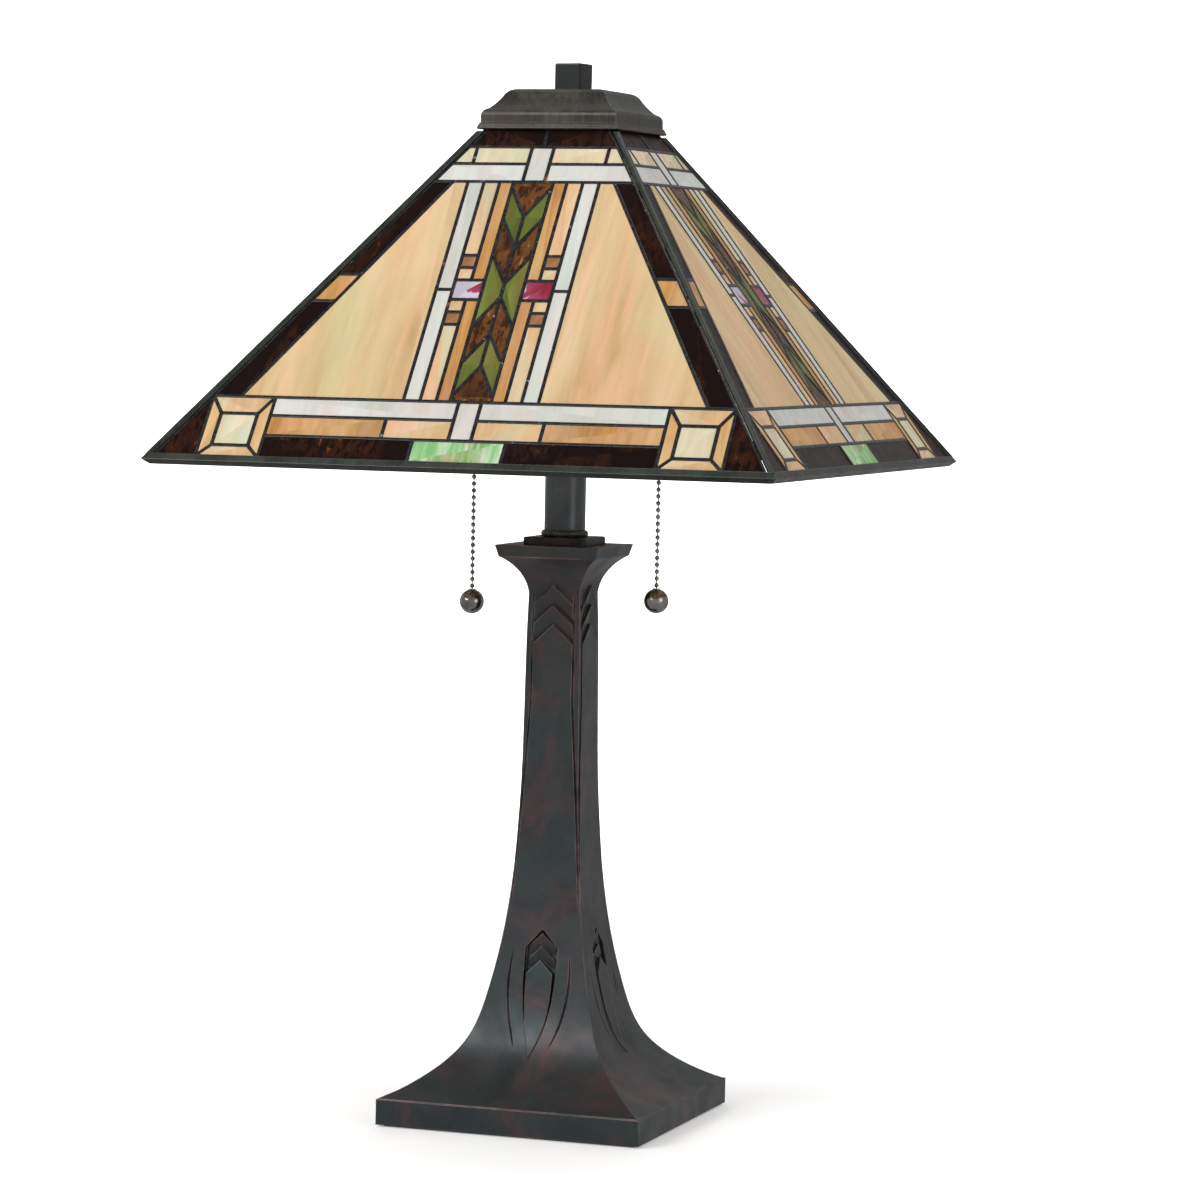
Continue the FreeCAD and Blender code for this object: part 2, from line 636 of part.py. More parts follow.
def envelope(shrink):
    """The bulb's outline turned solid, moved in by shrink: neck curve, then a round end."""
    start = SWITCH_BLOCK_END + BULB_GAP
    neck_z = start + BULB_BASE_LONG
    neck_r = BULB_BASE_R - 0.4 - shrink
    centre_z = start + BULB_LONG - BULB_R
    radius = BULB_R - shrink
    shoulder = math.radians(BULB_SHOULDER_DEG)
    join = Vector(-radius * math.cos(shoulder), 0, centre_z + radius * math.sin(shoulder))
    neck = Vector(neck_r, 0, neck_z + shrink)
    throat = Vector(neck_r + 0.3, 0, neck_z + 4)
    waist = Vector((throat.x + join.x) / 2, 0, throat.z + 0.58 * (join.z - throat.z))
    curve = Part.BSplineCurve()
    curve.interpolate([neck, throat, waist, join])
    tip = Vector(0, 0, centre_z + radius)
    side_on = Vector(radius * math.cos(0.3), 0, centre_z + radius * math.sin(0.3))
    cap = Part.Arc(join, side_on, tip).toShape()
    axis_line = Part.makeLine(tip, Vector(0, 0, neck.z))
    floor_line = Part.makeLine(Vector(0, 0, neck.z), neck)
    face = Part.Face(Part.Wire([curve.toShape(), cap, axis_line, floor_line]))
    return face.revolve(Vector(0, 0, 0), Vector(0, 0, 1), 360)


def pull_link(side):
    """Wire from the drum and the coupling sleeve that joins it to the long chain."""
    top = drum_axis(side).z - 1.0
    wire = cylinder(LINK_WIRE_R, LINK_TOP_Z - 1, top)
    foot = LINK_TOP_Z - LINK_LONG
    sleeve = turned([(0, foot), (LINK_R - 0.5, foot), (LINK_R, foot + 0.8), (LINK_R, LINK_TOP_Z - 0.8),
                     (LINK_R - 0.5, LINK_TOP_Z), (0, LINK_TOP_Z)])
    link = wire.fuse(sleeve)
    link.translate(Vector(side * CHAIN_X, 0, 0))
    return link


def pull_chain(side):
    """Hollow beads on short wires, from the coupling to the ball."""
    top = LINK_TOP_Z - LINK_LONG - 0.4
    foot = BALL_Z[side] + BALL_R + 0.6
    run = top - foot - 2 * BEAD_R
    count = int(run / BEAD_PITCH) + 1
    pitch = run / (count - 1)
    first = top - BEAD_R
    beads = [Part.makeSphere(BEAD_R, Vector(side * CHAIN_X, 0, first - pitch * i)) for i in range(count)]
    wire = cylinder(BEAD_WIRE_R, foot - 0.4, top, side * CHAIN_X)
    return wire.fuse(beads)


def pull_ball(side):
    """Turned end ball with a small collar."""
    ball = Part.makeSphere(BALL_R, Vector(0, 0, BALL_Z[side]))
    top = BALL_Z[side] + BALL_R + 0.2
    collar = turned([(0, top - COLLAR_HIGH), (COLLAR_R, top - COLLAR_HIGH), (COLLAR_R - 0.2, top), (0, top)])
    ball = ball.fuse(collar)
    ball.translate(Vector(side * CHAIN_X, 0, 0))
    return ball


def lights():
    """Both sockets with their switches, bulbs and pull chains."""
    screw_cups = []
    glass = envelope(0.0).cut(envelope(BULB_GLASS))
    for side, name in ((-1, "left"), (1, "right")):
        slot = cylinder(BELL_R + FIT, BELL_FOOT_Z, HUB_Z, side * CHAIN_X)
        save("socket_cap_" + name, on_socket(socket_cap(), side))
        save("socket_shell_" + name, on_socket(socket_shell(), side).cut(slot))
        save("switch_block_" + name, switch_block(side))
        save("switch_drum_" + name, switch_drum(side))
        save("chain_guide_" + name, bell_mouth(side))
        save("bulb_base_" + name, on_socket(bulb_base(), side))
        save("bulb_glass_" + name, on_socket(glass, side))
        save("pull_link_" + name, pull_link(side))
        save("pull_chain_" + name, pull_chain(side))
        save("pull_ball_" + name, pull_ball(side))
        screw_cups.append(on_socket(screw_shell(), side))
    save("screw_shells", Part.makeCompound(screw_cups))


# ---- shade pattern ---------------------------------------------------------
SHADE_RUN = RIM_HALF - SHADE_TOP_HALF
SLANT = math.hypot(SHADE_RUN, SHADE_RISE)
PANEL_END = SLANT + PANEL_TUCK
HIP_SLOPE = SHADE_RUN / SLANT
HIP_SHARE = math.hypot(1, HIP_SLOPE)

# rows up the slope: three from the foot, then the field, then three to the head
FOOT_MARGIN = 2.8
FOOT_ROW = 16.7
TAN_ROW = 15.0
WHITE_ROW = 13.8
UPPER_WHITE_ROW = 14.3
UPPER_PALE_ROW = 13.6
HEAD_ROW = 18.4
# heights of the lead lines up the slope
BAND_1 = FOOT_MARGIN
BAND_2 = BAND_1 + FOOT_ROW
BAND_3 = BAND_2 + TAN_ROW
FIELD_LOW = BAND_3 + WHITE_ROW
ROW_A_HIGH = PANEL_END - HEAD_ROW
ROW_B_HIGH = ROW_A_HIGH - UPPER_PALE_ROW
FIELD_HIGH = ROW_B_HIGH - UPPER_WHITE_ROW
MIDDLE = (FIELD_LOW + FIELD_HIGH) / 2
FIELD_HALF = (FIELD_HIGH - FIELD_LOW) / 2
# places of the lead lines across the panel
SHAFT = 13.3
AMBER_BAR = 22.3
TAN_BAR = 32.8
WHITE_BAR = 43.6
MID_PIECE = 7.3
OPAL_HALF = 30.0
TAN_ROW_END = 51.0
BOX_WIDE = 41.4
BOX_RIM = 8.6
BOX_HEAD = 13.0
ROW_A_SPLIT = 44.0
# the chevron shaft, as shares of half the field's height counted from its middle
CHEVRON_LINES = [share * FIELD_HALF for share in (0.059, 0.387, 0.675)]
CHEVRON_RISE = 0.275 * FIELD_HALF
JEWEL_HIGH = 7.6
SMALL_HIGH = 9.6
STRIP_WIDE = 13.0
STRIP_FLARE = 5.0
HIP_SQUARE_HALF = 10.5


def hip_at(v):
    """Outer edge of the panel's glass at a height up the slope."""
    return RIM_HALF - HIP_SLOPE * v - (HIP_BACK + EDGE_LEAD - LEAD_WIDTH / 2) * HIP_SHARE


def strip_at(v):
    """Inner edge of the dark strip that follows the hip."""
    return hip_at(v) - STRIP_WIDE - STRIP_FLARE * (FIELD_HIGH - v) / (FIELD_HIGH - FIELD_LOW)


def box_in():
    """Inner side of the corner box."""
    return hip_at(FIELD_LOW) - BOX_WIDE


def block(u0, u1, v0, v1):
    return [(u0, v0), (u1, v0), (u1, v1), (u0, v1)]


def hip_block(inner, v0, v1):
    """A cell whose outer side follows the hip; inner is a place or a function of height."""
    near = inner if callable(inner) else (lambda v: inner)
    return [(near(v0), v0), (hip_at(v0), v0), (hip_at(v1), v1), (near(v1), v1)]


def shaft_cells():
    """Right half of the chevron shaft, as (colour, outline), the same above and below its middle."""
    centre, leaf_low, leaf_high = CHEVRON_LINES
    bow = [(0, centre), (SHAFT, centre + CHEVRON_RISE), (SHAFT, -centre - CHEVRON_RISE), (0, -centre)]
    cells = [("leaf_green", bow)]
    for sign in (1, -1):
        def cell(colour, low, high):
            cells.append((colour, [(0, sign * low), (SHAFT, sign * (low + CHEVRON_RISE)),
                                   (SHAFT, sign * (high + CHEVRON_RISE)), (0, sign * high)]))
        cell("brown_ripple", centre, leaf_low)
        cell("leaf_green", leaf_low, leaf_high)
    return [(colour, [(u, MIDDLE + v) for u, v in outline]) for colour, outline in cells]


def bar_cells():
    """Bars beside the shaft, with the small squares at mid height."""
    cells = []
    for sign in (1, -1):
        end = MIDDLE + sign * FIELD_HALF
        jewel = MIDDLE + sign * JEWEL_HIGH
        first = jewel + sign * SMALL_HIGH
        second = first + sign * SMALL_HIGH
        cells.append(("amber", block(SHAFT, AMBER_BAR, jewel, end)))
        cells.append(("tan", block(AMBER_BAR, TAN_BAR, second, end)))
        cells.append(("tan", block(AMBER_BAR, TAN_BAR, jewel, first)))
        cells.append(("copper", block(AMBER_BAR, TAN_BAR, first, second)))
        cells.append(("white", block(TAN_BAR, WHITE_BAR, MIDDLE, end)))
    cells.append(("violet", block(SHAFT, TAN_BAR, MIDDLE - JEWEL_HIGH, MIDDLE + JEWEL_HIGH)))
    return cells


def corner_box_cells():
    """Square in a mitred frame at the foot of the panel, and the triangle beside it."""
    box_out = hip_at(FIELD_LOW)
    outer = block(box_in(), box_out, BAND_1, FIELD_LOW)
    inner = block(box_in() + BOX_RIM, box_out - BOX_RIM, BAND_1 + BOX_RIM, FIELD_LOW - BOX_HEAD)
    toe = [(box_out, BAND_1), (hip_at(BAND_1), BAND_1), (box_out, FIELD_LOW)]
    cells = [("pale", inner), ("dark_brown", toe)]
    for i in range(4):
        j = (i + 1) % 4
        cells.append(("honey" if i % 2 else "tan", [outer[i], outer[j], inner[j], inner[i]]))
    return cells


def half_cells():
    """Every cell right of the panel's middle, as (colour, outline of lead centrelines)."""
    cells = shaft_cells() + bar_cells() + corner_box_cells()
    cells.append(("cream", [(WHITE_BAR, FIELD_LOW), (strip_at(FIELD_LOW), FIELD_LOW),
                            (strip_at(FIELD_HIGH), FIELD_HIGH), (WHITE_BAR, FIELD_HIGH)]))
    square_low, square_high = MIDDLE - HIP_SQUARE_HALF, MIDDLE + HIP_SQUARE_HALF
    cells.append(("dark_brown", hip_block(strip_at, FIELD_LOW, square_low)))
    cells.append(("amber", hip_block(strip_at, square_low, square_high)))
    cells.append(("dark_brown", hip_block(strip_at, square_high, FIELD_HIGH)))
    cells.append(("white", hip_block(MID_PIECE, FIELD_HIGH, ROW_B_HIGH)))
    cells.append(("pale", block(MID_PIECE, ROW_A_SPLIT, ROW_B_HIGH, ROW_A_HIGH)))
    cells.append(("pale", hip_block(ROW_A_SPLIT, ROW_B_HIGH, ROW_A_HIGH)))
    cells.append(("dark_brown", hip_block(0.0, ROW_A_HIGH, PANEL_END - EDGE_LEAD + LEAD_WIDTH / 2)))
    cells.append(("white", block(MID_PIECE, box_in(), BAND_3, FIELD_LOW)))
    cells.append(("tan", block(MID_PIECE, TAN_ROW_END, BAND_2, BAND_3)))
    cells.append(("amber", block(TAN_ROW_END, box_in(), BAND_2, BAND_3)))
    cells.append(("dark_brown", block(OPAL_HALF, box_in(), BAND_1, BAND_2)))
    return cells


def panel_cells():
    """All cells of one panel: both mirrored halves and the pieces across the middle."""
    cells = []
    for colour, outline in half_cells():
        cells.append((colour, outline))
        cells.append((colour, [(-u, v) for u, v in outline]))
    tip = CHEVRON_LINES[-1]
    for sign in (1, -1):
        edge = MIDDLE + sign * FIELD_HALF
        side = MIDDLE + sign * (tip + CHEVRON_RISE)
        cells.append(("brown_ripple", [(0, MIDDLE + sign * tip), (SHAFT, side), (SHAFT, edge), (-SHAFT, edge),
                                       (-SHAFT, side)]))
    cells.append(("white", block(-MID_PIECE, MID_PIECE, FIELD_HIGH, ROW_A_HIGH)))
    cells.append(("white", block(-MID_PIECE, MID_PIECE, BAND_2, FIELD_LOW)))
    cells.append(("green_opal", block(-OPAL_HALF, OPAL_HALF, BAND_1, BAND_2)))
    return cells


def inset(outline, distance):
    """A convex outline moved in by a distance on every side."""
    area = sum(a[0] * b[1] - b[0] * a[1] for a, b in zip(outline, outline[1:] + outline[:1]))
    points = outline if area > 0 else outline[::-1]
    sides = []
    for a, b in zip(points, points[1:] + points[:1]):
        du, dv = b[0] - a[0], b[1] - a[1]
        size = math.hypot(du, dv)
        normal = (-dv / size, du / size)
        sides.append((normal, normal[0] * a[0] + normal[1] * a[1] + distance))
    result = []
    for (n1, c1), (n2, c2) in zip(sides[-1:] + sides[:-1], sides):
        det = n1[0] * n2[1] - n2[0] * n1[1]
        result.append(((c1 * n2[1] - c2 * n1[1]) / det, (n1[0] * c2 - n2[0] * c1) / det))
    return result


def flat(outline, low, high):
    """A plate from low to high along the panel's outward normal, drawn flat."""
    points = [Vector(u, v, low) for u, v in outline]
    return Part.Face(Part.makePolygon(points + points[:1])).extrude(Vector(0, 0, high - low))


def on_panel(shape, side):
    """Stand a flat shape up on the front slope, then turn it to its side of the shade."""
    across = Vector(1, 0, 0)
    up = Vector(0, SHADE_RUN / SLANT, SHADE_RISE / SLANT)
    out = across.cross(up)
    matrix = FreeCAD.Matrix(across.x, up.x, out.x, 0, across.y, up.y, out.y, -RIM_HALF,
                            across.z, up.z, out.z, RIM_Z, 0, 0, 0, 1)
    return turn(shape.transformGeometry(matrix), 90 * side)


def shade_panels():
    """Lead lattice of each side, and its glass gathered by colour."""
    foot = BAND_1 - LEAD_WIDTH - 0.2
    edge = HIP_BACK * HIP_SHARE
    half_low = RIM_HALF - HIP_SLOPE * foot - edge
    half_high = RIM_HALF - HIP_SLOPE * PANEL_END - edge
    rim = [(-half_low, foot), (half_low, foot), (half_high, PANEL_END), (-half_high, PANEL_END)]
    cells = panel_cells()
    windows = [flat(inset(outline, LEAD_WIDTH / 2), -LEAD_THICK - PAST, PAST) for colour, outline in cells]
    lattice = flat(rim, -LEAD_THICK, 0).cut(windows)
    for side, name in enumerate(("front", "right", "back", "left")):
        save("lead_lattice_" + name, on_panel(lattice, side))
    glass_low = -(LEAD_THICK + GLASS_THICK) / 2
    for wanted in sorted({colour for colour, outline in cells}):
        pieces = [flat(inset(outline, LEAD_WIDTH / 2 + GLASS_FIT), glass_low, glass_low + GLASS_THICK)
                  for colour, outline in cells if colour == wanted]
        group = Part.makeCompound(pieces)
        save("glass_" + wanted, Part.makeCompound([on_panel(group, side) for side in range(4)]))


def rim_came():
    """Mitred U channel round the bottom edge."""
    low, high = -CAME_LOW, CAME_HIGH
    floor = BAND_1 - LEAD_WIDTH - 0.3
    out = CAME_SHEET + FIT
    back = -LEAD_THICK - FIT - CAME_SHEET
    section = [(low, back), (high, back), (high, back + CAME_SHEET), (floor, back + CAME_SHEET),
               (floor, FIT), (high, FIT), (high, out), (low, out)]
    reach = 1.5 * RIM_HALF
    face = Part.Face(Part.makePolygon([Vector(-reach, v, n) for v, n in section + section[:1]]))
    bar = on_panel(face.extrude(Vector(2 * reach, 0, 0)), 0)
    corner = [Vector(0, 0, 0), Vector(-reach, -reach, 0), Vector(reach, -reach, 0)]
    wedge = polyhedron(corner, [point + Vector(0, 0, SHADE_TOP_Z) for point in corner])
    side = bar.common(wedge)
    sides = four_ways(side)
    return sides[0].fuse(sides[1:]).removeSplitter()


def hip_cames(rim):
    """Round bars that close the four corners of the shade."""
    low = Vector(RIM_HALF, -RIM_HALF, RIM_Z)
    high = Vector(SHADE_TOP_HALF, -SHADE_TOP_HALF, SHADE_TOP_Z)
    along = (high - low).normalize()
    inward = Vector(-1, 1, 0).normalize()
    inward = (inward - along * inward.dot(along)).normalize()
    start = low - along * 10 + inward * HIP_CAME_IN
    bar = Part.makeCylinder(HIP_CAME_R, (high - low).Length + 20, start, along)
    bar = bar.common(square(1.5 * RIM_HALF, RIM_Z - PAST, HIP_END_Z))
    skirt = square(1.5 * RIM_HALF, RIM_Z - 2 * PAST, RIM_Z + (CAME_HIGH + 0.2) * SHADE_RISE / SLANT)
    bar = bar.cut(rim).cut(skirt)
    return Part.makeCompound(four_ways(bar))


# ---- vase cap, seat and finial --------------------------------------------
CAP_FOOT_HALF = SHADE_TOP_HALF + CAP_OVERHANG
CAP_BAND_HALF = CAP_FOOT_HALF - CAP_FLANGE_SLOPE
CAP_STEP_HALF = CAP_BAND_HALF - CAP_OGEE_IN
CAP_PLATEAU_HALF = CAP_STEP_HALF - CAP_TOP_IN
CAP_FOOT_Z = SHADE_TOP_Z - 0.4
CAP_BAND_Z = CAP_FOOT_Z + CAP_FLANGE_HIGH
CAP_OGEE_Z = CAP_BAND_Z + CAP_BAND_HIGH
CAP_STEP_Z = CAP_OGEE_Z + CAP_OGEE_HIGH
CAP_TOP_Z = CAP_STEP_Z + CAP_TOP_HIGH


def vase_cap():
    """Spun square cap: rolled flange, rounded band, ogee and a low domed top, hollow underneath."""
    def point(half, z):
        return Vector(half, 0, z)

    round_z = CAP_BAND_Z + CAP_BAND_STRAIGHT * CAP_BAND_HIGH
    band_top = CAP_BAND_HALF - CAP_BAND_ROUND
    shoulder = point(CAP_BAND_HALF - 0.25 * CAP_BAND_ROUND, (round_z + CAP_OGEE_Z) / 2 + 0.4)
    ogee_bend = point((band_top + CAP_STEP_HALF) / 2 - 0.6, (CAP_OGEE_Z + CAP_STEP_Z) / 2)
    top_bend = point(CAP_STEP_HALF - 0.4 * CAP_TOP_IN, CAP_STEP_Z + 0.68 * CAP_TOP_HIGH)
    outer = lines([point(CAP_FOOT_HALF - 0.6, CAP_FOOT_Z), point(CAP_FOOT_HALF, CAP_FOOT_Z + 0.8),
                   point(CAP_BAND_HALF + 0.8, CAP_BAND_Z - 0.7), point(CAP_BAND_HALF, CAP_BAND_Z),
                   point(CAP_BAND_HALF, round_z)])
    outer.append(Part.Arc(point(CAP_BAND_HALF, round_z), shoulder, point(band_top, CAP_OGEE_Z)).toShape())
    step = point(CAP_STEP_HALF, CAP_STEP_Z)
    outer.append(Part.Arc(point(band_top, CAP_OGEE_Z), ogee_bend, step).toShape())
    outer.append(Part.Arc(step, top_bend, point(CAP_PLATEAU_HALF, CAP_TOP_Z)).toShape())
    inner_top = CAP_TOP_Z - CAP_SHEET
    band_inner = CAP_BAND_HALF - CAP_SHEET
    inner = lines([point(CAP_FOOT_HALF - CAP_SHEET - 0.6, CAP_FOOT_Z - PAST), point(band_inner, CAP_BAND_Z),
                   point(band_inner, round_z), point(band_top - CAP_SHEET, CAP_OGEE_Z - 0.8),
                   point(CAP_STEP_HALF - CAP_SHEET, CAP_STEP_Z - 0.8), point(CAP_PLATEAU_HALF, inner_top)])
    return mitred(outer).cut([mitred(inner), cylinder(ROD_R + ROD_CLEAR, CAP_FOOT_Z, CAP_TOP_Z + PAST)])


def seat_and_finial():
    """Rod with its nut, seat and friction washer, and the finial on its threaded insert."""
    underside = CAP_TOP_Z - CAP_SHEET
    seat_top = underside - FRICTION_THICK
    seat_low = seat_top - SEAT_THICK
    nut_low = seat_low - SEAT_NUT_THICK
    save("upper_rod", cylinder(ROD_R, ROD_FOOT_Z, CAP_TOP_Z + ROD_IN_FINIAL))
    save("friction_washer", tube(FRICTION_R, ROD_R + ROD_CLEAR - FIT, seat_top, underside))
    save("shade_seat", tube(SEAT_R, ROD_HOLE_R, seat_low, seat_top))
    nut = hexagon(SEAT_NUT_FLATS, nut_low, seat_low)
    save("seat_nut", nut.cut(cylinder(ROD_HOLE_R, nut_low - PAST, seat_low + PAST)))
    foot = CAP_TOP_Z + FIT
    lip_r = INSERT_R + INSERT_LIP_PROUD
    lip_top = foot + INSERT_LIP
    insert_top = foot + INSERT_LONG
    insert = turned([(ROD_HOLE_R, foot), (lip_r, foot), (lip_r, lip_top), (INSERT_R, lip_top),
                     (INSERT_R, insert_top), (ROD_HOLE_R, insert_top)])
    save("finial_insert", insert)
    top = CAP_TOP_Z + FINIAL_HIGH
    finial = square(FINIAL_HALF, foot, top)
    rounded = [e for e in finial.Edges if e.BoundBox.ZMax > top - FIT]
    finial = finial.makeFillet(FINIAL_EDGE, rounded)
    bore = cylinder(INSERT_R + FIT, foot - PAST, insert_top + 0.5)
    recess = cylinder(lip_r + FIT, foot - PAST, lip_top + FIT)
    save("finial", turn(finial.cut([bore, recess]), FINIAL_TURN_DEG))


def shade():
    shade_panels()
    rim = rim_came()
    save("rim_came", rim)
    save("hip_cames", hip_cames(rim))
    save("vase_cap", vase_cap())
    seat_and_finial()


os.makedirs("parts", exist_ok=True)
save("foot_slab", foot_slab())
save("column_casting", column_casting())
save("capital_plate", capital_plate())
inside_base()
cord_inlet()
stem()
cluster()
lights()
shade()
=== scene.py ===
"""Looks of the leaded-glass table lamp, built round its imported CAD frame. Metres, +Z up, front -Y."""
import math

import bpy
from mathutils import Matrix, Vector

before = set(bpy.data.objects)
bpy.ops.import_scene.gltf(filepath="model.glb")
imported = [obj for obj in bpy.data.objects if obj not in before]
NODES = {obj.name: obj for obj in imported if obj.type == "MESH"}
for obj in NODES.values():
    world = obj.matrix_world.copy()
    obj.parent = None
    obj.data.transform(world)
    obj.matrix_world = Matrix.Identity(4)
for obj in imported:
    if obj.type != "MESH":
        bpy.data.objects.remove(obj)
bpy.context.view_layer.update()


# ---- shader graph helpers ---------------------------------------------------
class Graph:
    """A material's node tree with short names for what is used again and again."""

    def __init__(self, name):
        self.material = bpy.data.materials.new(name)
        self.material.use_nodes = True
        self.tree = self.material.node_tree
        self.tree.nodes.clear()
        self.out = self.node("ShaderNodeOutputMaterial")
        self.shader = self.node("ShaderNodeBsdfPrincipled")
        self.join(self.shader.outputs["BSDF"], self.out.inputs["Surface"])

    def node(self, kind, **values):
        made = self.tree.nodes.new(kind)
        for key, value in values.items():
            setattr(made, key, value)
        return made

    def join(self, source, target):
        self.tree.links.new(source, target)

    def put(self, socket, value):
        """Link an output to a socket, or set a plain value on it."""
        if hasattr(value, "is_output"):
            self.join(value, socket)
        else:
            socket.default_value = value

    def place(self, scale=(1, 1, 1)):
        """Object coordinates in metres, stretched."""
        coords = self.node("ShaderNodeTexCoord").outputs["Object"]
        mapping = self.node("ShaderNodeMapping")
        self.join(coords, mapping.inputs["Vector"])
        mapping.inputs["Scale"].default_value = scale
        return mapping.outputs["Vector"]

    def on_pane(self):
        """How far along its side of the shade a point lies, and its height."""
        coords = self.node("ShaderNodeTexCoord")
        spot = self.node("ShaderNodeSeparateXYZ")
        self.join(coords.outputs["Object"], spot.inputs[0])
        turn = self.node("ShaderNodeVectorTransform", vector_type="NORMAL",
                         convert_from="WORLD", convert_to="OBJECT")
        self.join(self.node("ShaderNodeNewGeometry").outputs["True Normal"], turn.inputs[0])
        facing = self.node("ShaderNodeSeparateXYZ")
        self.join(turn.outputs[0], facing.inputs[0])
        sideways = self.math("ABSOLUTE", facing.outputs["X"])
        level = self.node("ShaderNodeMix", data_type="FLOAT")
        faces_sideways = self.math("GREATER_THAN", sideways, self.math("ABSOLUTE", facing.outputs["Y"]))
        self.join(faces_sideways, level.inputs["Factor"])
        self.join(spot.outputs["X"], level.inputs["A"])
        self.join(spot.outputs["Y"], level.inputs["B"])
        return level.outputs["Result"], spot.outputs["Z"]

    def pane(self, across, along, per_piece):
        """Texture coordinates on a sloping pane: across it, then up it, shifted by piece_random."""
        level, height = self.on_pane()
        shift = self.math("MULTIPLY", self.piece_random(), per_piece)
        place = self.node("ShaderNodeCombineXYZ")
        self.join(self.math("MULTIPLY_ADD", level, across, shift), place.inputs["X"])
        self.join(self.math("MULTIPLY_ADD", height, along, shift), place.inputs["Y"])
        self.join(self.math("MULTIPLY", shift, 5.3), place.inputs["Z"])
        return place.outputs["Vector"]

    def noise(self, where, scale, detail=4.0, rough=0.55, warp=0.0):
        made = self.node("ShaderNodeTexNoise")
        self.join(where, made.inputs["Vector"])
        made.inputs["Scale"].default_value = scale
        made.inputs["Detail"].default_value = detail
        made.inputs["Roughness"].default_value = rough
        made.inputs["Distortion"].default_value = warp
        return made.outputs["Fac"]

    def cells(self, where, scale):
        """Smoothed distance to the nearest of many scattered points."""
        made = self.node("ShaderNodeTexVoronoi", feature="SMOOTH_F1")
        self.join(where, made.inputs["Vector"])
        made.inputs["Scale"].default_value = scale
        return made.outputs["Distance"]

    def ramp(self, value, stops):
        made = self.node("ShaderNodeValToRGB")
        elements = made.color_ramp.elements
        while len(elements) < len(stops):
            elements.new(0.5)
        for element, (place, colour) in zip(elements, stops):
            element.position = place
            element.color = (*colour, 1) if isinstance(colour, tuple) else (colour, colour, colour, 1)
        self.join(value, made.inputs["Fac"])
        return made.outputs["Color"]

    def mix(self, share, a, b, blend="MIX"):
        made = self.node("ShaderNodeMix", data_type="RGBA", blend_type=blend)
        self.put(made.inputs["Factor"], share)
        self.put(made.inputs["A"], a if hasattr(a, "is_output") else (*a, 1))
        self.put(made.inputs["B"], b if hasattr(b, "is_output") else (*b, 1))
        return made.outputs["Result"]

    def math(self, kind, a, b=0.0, c=0.0):
        made = self.node("ShaderNodeMath", operation=kind)
        self.put(made.inputs[0], a)
        self.put(made.inputs[1], b)
        self.put(made.inputs[2], c)
        return made.outputs[0]

    def piece_random(self):
        """A random number for each connected island of mesh, which in the panes is each single face."""
        return self.node("ShaderNodeNewGeometry").outputs["Random Per Island"]

    def edge_wear_and_highlight(self, radius, low, high):
        """1 on outer edges, from how far a rounded normal leaves the true one: worn edges, and partly a painted edge
        highlight.
        """
        rounded = self.node("ShaderNodeBevel", samples=6)
        rounded.inputs["Radius"].default_value = radius
        true = self.node("ShaderNodeNewGeometry").outputs["Normal"]
        dot = self.node("ShaderNodeVectorMath", operation="DOT_PRODUCT")
        self.join(rounded.outputs["Normal"], dot.inputs[0])
        self.join(true, dot.inputs[1])
        turned = self.math("SUBTRACT", 1.0, dot.outputs["Value"])
        return self.ramp(turned, [(low, 0.0), (high, 1.0)])

    def painted_groove_shade(self, reach, low, high):
        """1 deep in grooves and inner corners, 0 on open faces: the mask for painting shade into grooves."""
        shut = self.node("ShaderNodeAmbientOcclusion", samples=8, only_local=True)
        shut.inputs["Distance"].default_value = reach
        return self.ramp(shut.outputs["AO"], [(low, 1.0), (high, 0.0)])

    def finish(self, colour, rough, metal=0.0, bump=None, strength=0.3, distance=0.0005, edge=0.0, **extra):
        self.put(self.shader.inputs["Base Color"], colour)
        self.put(self.shader.inputs["Roughness"], rough)
        self.put(self.shader.inputs["Metallic"], metal)
        if bump is not None:
            made = self.node("ShaderNodeBump")
            made.inputs["Strength"].default_value = strength
            made.inputs["Distance"].default_value = distance
            self.join(bump, made.inputs["Height"])
            if edge:
                round_edge = self.node("ShaderNodeBevel", samples=8)
                round_edge.inputs["Radius"].default_value = edge
                self.join(round_edge.outputs["Normal"], made.inputs["Normal"])
            self.join(made.outputs["Normal"], self.shader.inputs["Normal"])
        for name, value in extra.items():
            self.shader.inputs[name.replace("_", " ")].default_value = value
        return self.material


